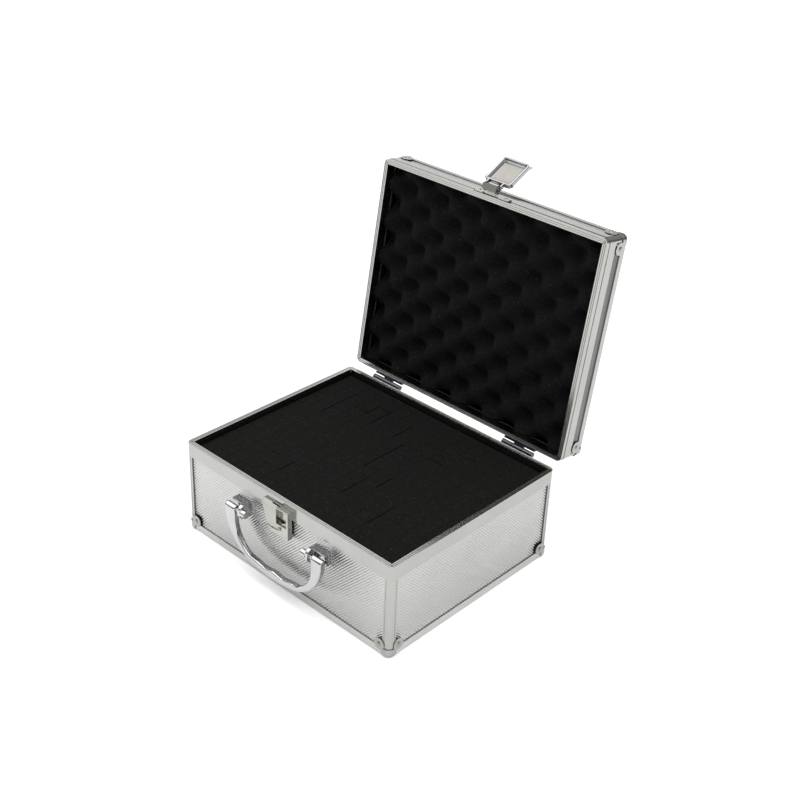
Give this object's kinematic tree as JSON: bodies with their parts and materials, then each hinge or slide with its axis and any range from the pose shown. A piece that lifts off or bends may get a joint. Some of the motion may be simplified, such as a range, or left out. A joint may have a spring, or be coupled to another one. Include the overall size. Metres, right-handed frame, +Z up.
{
  "type": "art supply box",
  "caption": "Small aluminium-framed art supply case: foam-lined base, hinged lid with egg-crate foam, swinging carry handle and draw latch.",
  "frame": {"origin": "centre of the face that the case stands on", "axes": "+X to the right along the front, +Y from the front to the hinges, +Z up"},
  "size_m": [0.2534, 0.2951, 0.3167],
  "materials": {
    "frame_aluminium": "satin anodised extrusion",
    "ribbed_panel": "embossed diagonal ribs, satin",
    "cap_steel": "zinc plated pressing, satin",
    "rivets": "nickel plated, warm tint",
    "hinge_steel": "plated, semi gloss",
    "handle_chrome": "satin front, polished inside",
    "lever_chrome": "polished plating",
    "latch_steel": "zinc plated pressing",
    "lever_inlay": "matt beige underside",
    "foam": "open-cell foam, matt"
  },
  "bodies": {
    "base": {"base_rim": "frame_aluminium", "base_edging": "frame_aluminium", "base_bottom_panel": "ribbed_panel", "base_front_panel": "ribbed_panel", "base_back_panel": "ribbed_panel", "base_left_panel": "ribbed_panel", "base_right_panel": "ribbed_panel", "base_post_front_left": "frame_aluminium", "base_post_front_right": "frame_aluminium", "base_post_back_left": "frame_aluminium", "base_post_back_right": "frame_aluminium", "base_cap_front_left": "cap_steel", "base_cap_front_right": "cap_steel", "base_cap_back_left": "cap_steel", "base_cap_back_right": "cap_steel", "base_cap_rivets": "rivets", "base_foam_pad": "foam", "pick_foam": "foam", "catch_plate": "latch_steel", "catch_rivets": "rivets", "handle_bracket_left": "handle_chrome", "handle_bracket_right": "handle_chrome", "handle_pin_left": "handle_chrome", "handle_pin_right": "handle_chrome", "handle_bracket_rivets": "rivets", "hinge_base_leaf_left": "hinge_steel", "hinge_base_leaf_right": "hinge_steel", "hinge_pin_left": "hinge_steel", "hinge_pin_right": "hinge_steel", "hinge_base_rivets": "rivets"},
    "handle": {"handle": "handle_chrome"},
    "lid": {"lid_rim": "frame_aluminium", "lid_edging": "frame_aluminium", "lid_top_panel": "ribbed_panel", "lid_front_panel": "ribbed_panel", "lid_back_panel": "ribbed_panel", "lid_left_panel": "ribbed_panel", "lid_right_panel": "ribbed_panel", "lid_post_front_left": "frame_aluminium", "lid_post_front_right": "frame_aluminium", "lid_post_back_left": "frame_aluminium", "lid_post_back_right": "frame_aluminium", "lid_cap_front_left": "cap_steel", "lid_cap_front_right": "cap_steel", "lid_cap_back_left": "cap_steel", "lid_cap_back_right": "cap_steel", "lid_cap_rivets": "rivets", "egg_crate_foam": "foam", "hinge_lid_leaf_left": "hinge_steel", "hinge_lid_leaf_right": "hinge_steel", "hinge_lid_rivets": "rivets", "latch_plate": "latch_steel", "latch_plate_pin": "latch_steel", "latch_plate_rivets": "rivets"},
    "latch_link": {"latch_link": "latch_steel", "latch_lever_pin": "latch_steel"},
    "latch_lever": {"latch_lever": "lever_chrome", "latch_lever_pad": "lever_inlay"}
  },
  "joints": [
    {"name": "lid_hinge", "type": "hinge", "parent": "base", "child": "lid", "pos_m": [0, 0.1055, 0.0887], "axis": [1, 0, 0], "range_deg": [0, 99]},
    {"name": "handle_swing", "type": "hinge", "parent": "base", "child": "handle", "pos_m": [0, -0.1102, 0.0623], "axis": [1, 0, 0], "range_deg": [-90, 0]},
    {"name": "latch_link_turn", "type": "hinge", "parent": "lid", "child": "latch_link", "pos_m": [0, 0.14178, 0.29668], "axis": [1, 0, 0], "range_deg": [0, 90]},
    {"name": "latch_lever_turn", "type": "hinge", "parent": "latch_link", "child": "latch_lever", "pos_m": [0, 0.14464, 0.30069], "axis": [1, 0, 0], "range_deg": [0, 55]}
  ]
}
